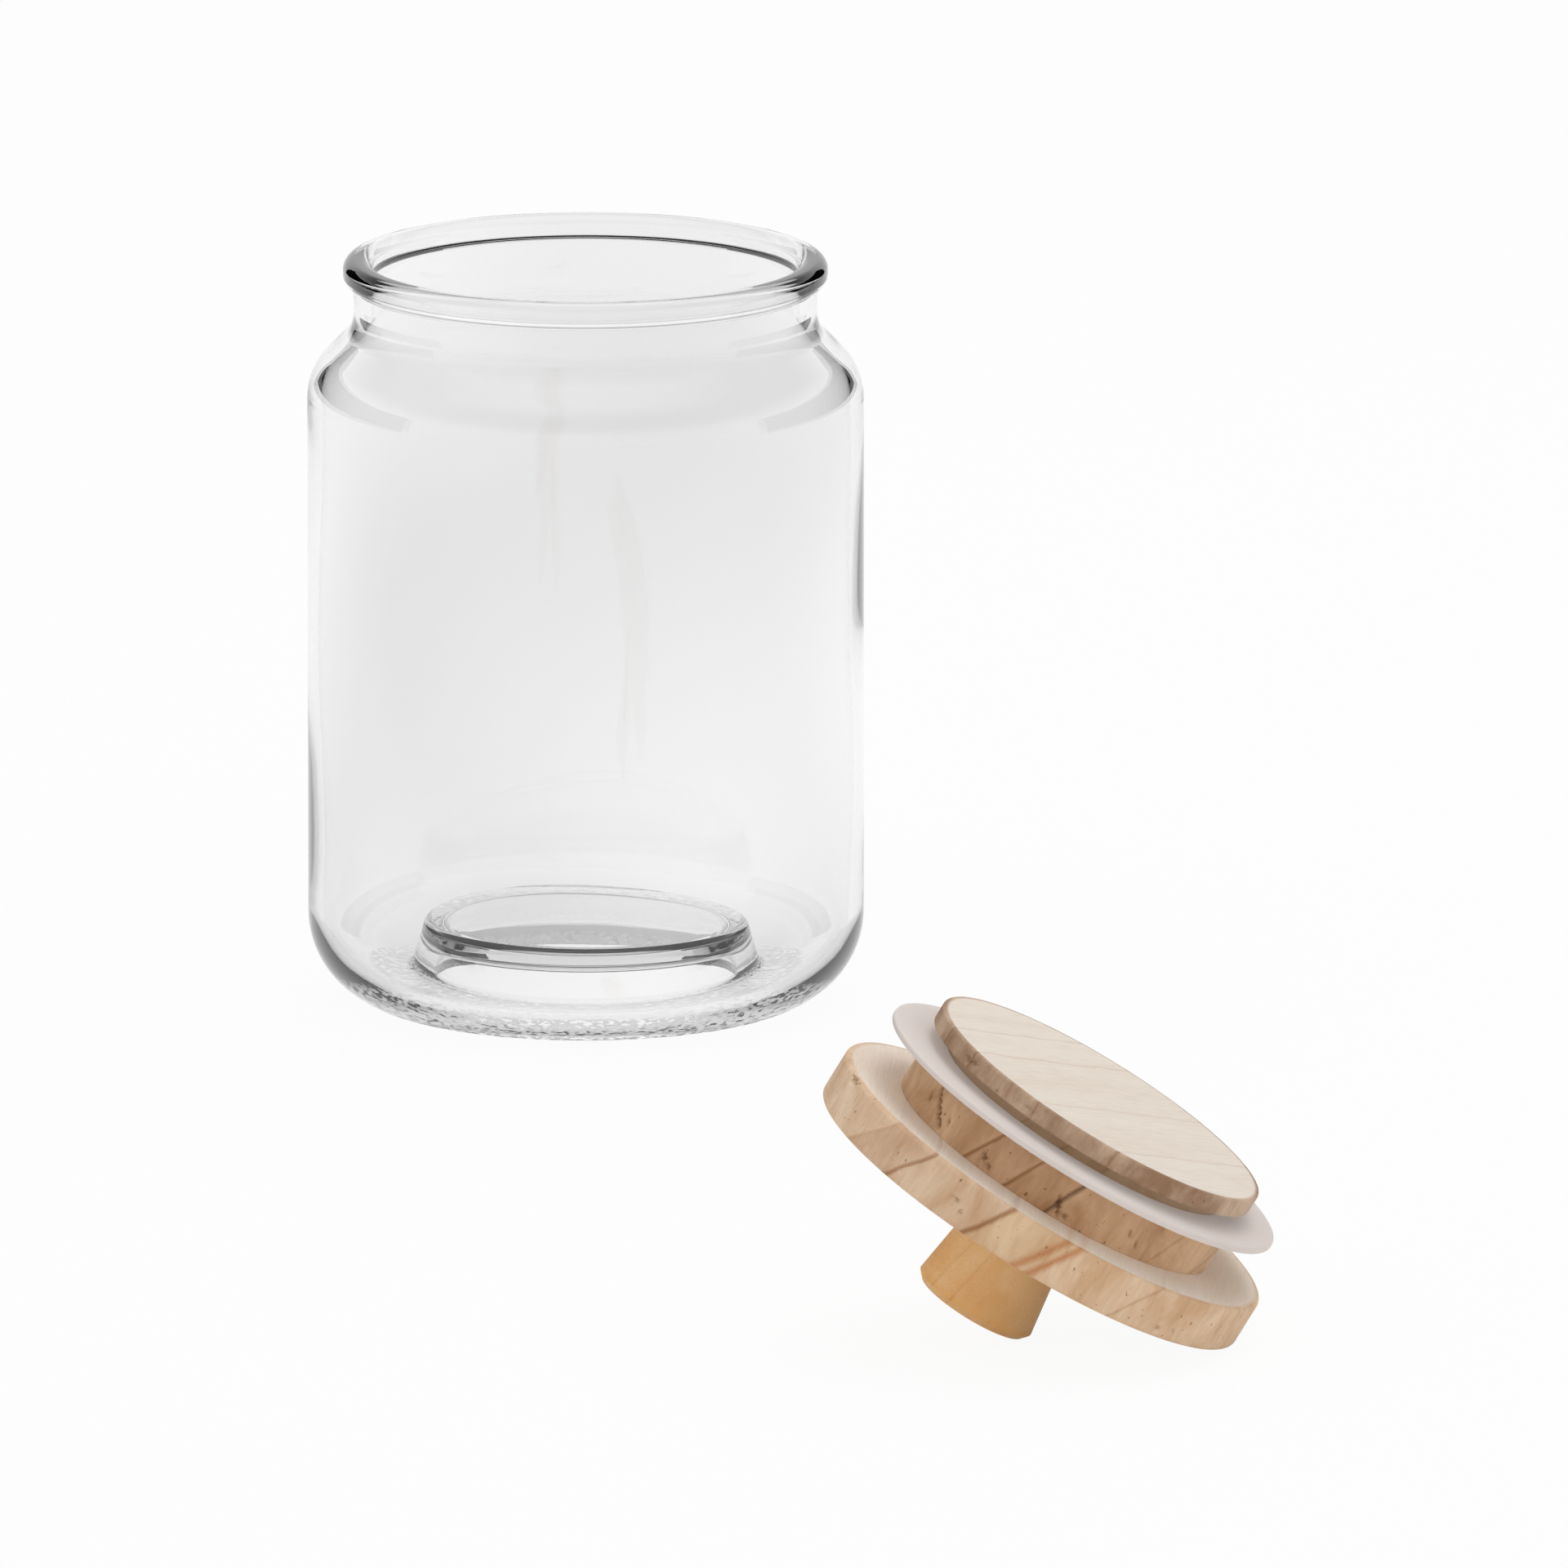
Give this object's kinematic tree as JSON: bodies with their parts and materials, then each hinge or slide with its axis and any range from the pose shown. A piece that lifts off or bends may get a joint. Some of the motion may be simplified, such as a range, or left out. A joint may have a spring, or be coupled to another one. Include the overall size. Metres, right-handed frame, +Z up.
{
  "type": "food canister",
  "caption": "Round glass storage jar with a rolled rim, shown open, with its wooden lid lying upside down in front of it; the lid has a sealing ring and a knob.",
  "frame": {"origin": "middle of the jar's base ring, on the surface that it stands on", "axes": "+Z up along the jar's axis; the lid lies towards -Y, which is the viewer's side, and towards +X, which is the viewer's right"},
  "size_m": [0.1791, 0.3867, 0.143],
  "materials": {
    "clear_glass": "clear, polished, faintly grey",
    "cover_wood": "pale pine, sanded, unvarnished",
    "plug_wood": "pale pine with open end grain on its edge",
    "white_silicone": "milky white, slightly see-through, satin",
    "retainer_wood": "pale pine, sanded, with narrow glue lines",
    "knob_wood": "golden pine, sanded",
    "screw_steel": "zinc plated"
  },
  "bodies": {
    "jar": {"glass_jar": "clear_glass"},
    "lid": {"lid_cover": "cover_wood", "lid_plug": "plug_wood", "sealing_ring": "white_silicone", "lid_retainer": "retainer_wood", "knob": "knob_wood", "knob_screw": "screw_steel"}
  },
  "joints": [
    {"name": "lid_lift", "type": "slide", "parent": "jar", "child": "lid", "axis": [0, 0, 1], "range_m": [0, 0.2]}
  ]
}
